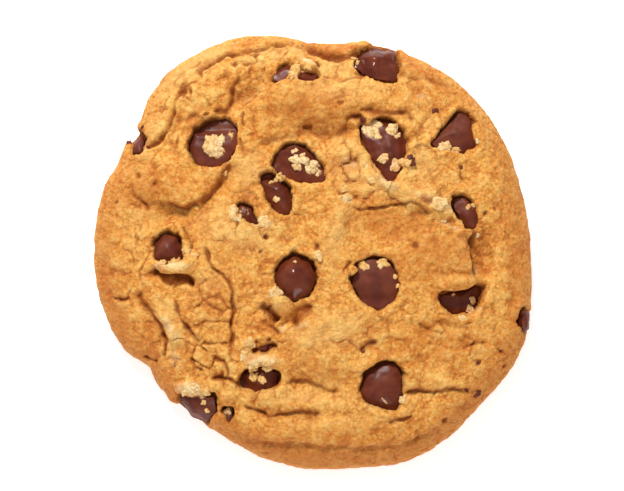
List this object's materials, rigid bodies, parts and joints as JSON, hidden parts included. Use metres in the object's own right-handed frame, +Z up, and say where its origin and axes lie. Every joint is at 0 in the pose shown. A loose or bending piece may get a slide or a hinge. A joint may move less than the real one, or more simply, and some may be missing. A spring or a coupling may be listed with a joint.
{
  "type": "chocolate chip cookie",
  "caption": "Large soft-baked round cookie with a wandering rim, hummocky top, flat underside and chocolate chips seated in the dough.",
  "frame": {"origin": "on the surface the cookie lies on, under the middle of its outline", "axes": "+Z up through the thickness; +Y towards the far side, +X to the right, seen from above"},
  "size_m": [0.0901, 0.0896, 0.0128],
  "materials": {
    "baked_dough": "matt, finely grained golden-brown baked cookie dough",
    "dark_chocolate": "satin dark chocolate with soft uneven gloss"
  },
  "bodies": {
    "root": {"dough": "baked_dough", "chip_01": "dark_chocolate", "chip_02": "dark_chocolate", "chip_03": "dark_chocolate", "chip_04": "dark_chocolate", "chip_05": "dark_chocolate", "chip_06": "dark_chocolate", "chip_07": "dark_chocolate", "chip_08": "dark_chocolate", "chip_09": "dark_chocolate", "chip_10": "dark_chocolate", "chip_11": "dark_chocolate", "chip_12": "dark_chocolate", "chip_13": "dark_chocolate", "chip_14": "dark_chocolate", "chip_15": "dark_chocolate", "chip_16": "dark_chocolate", "chip_17": "dark_chocolate", "chip_18": "dark_chocolate", "chip_19": "dark_chocolate"}
  },
  "joints": []
}
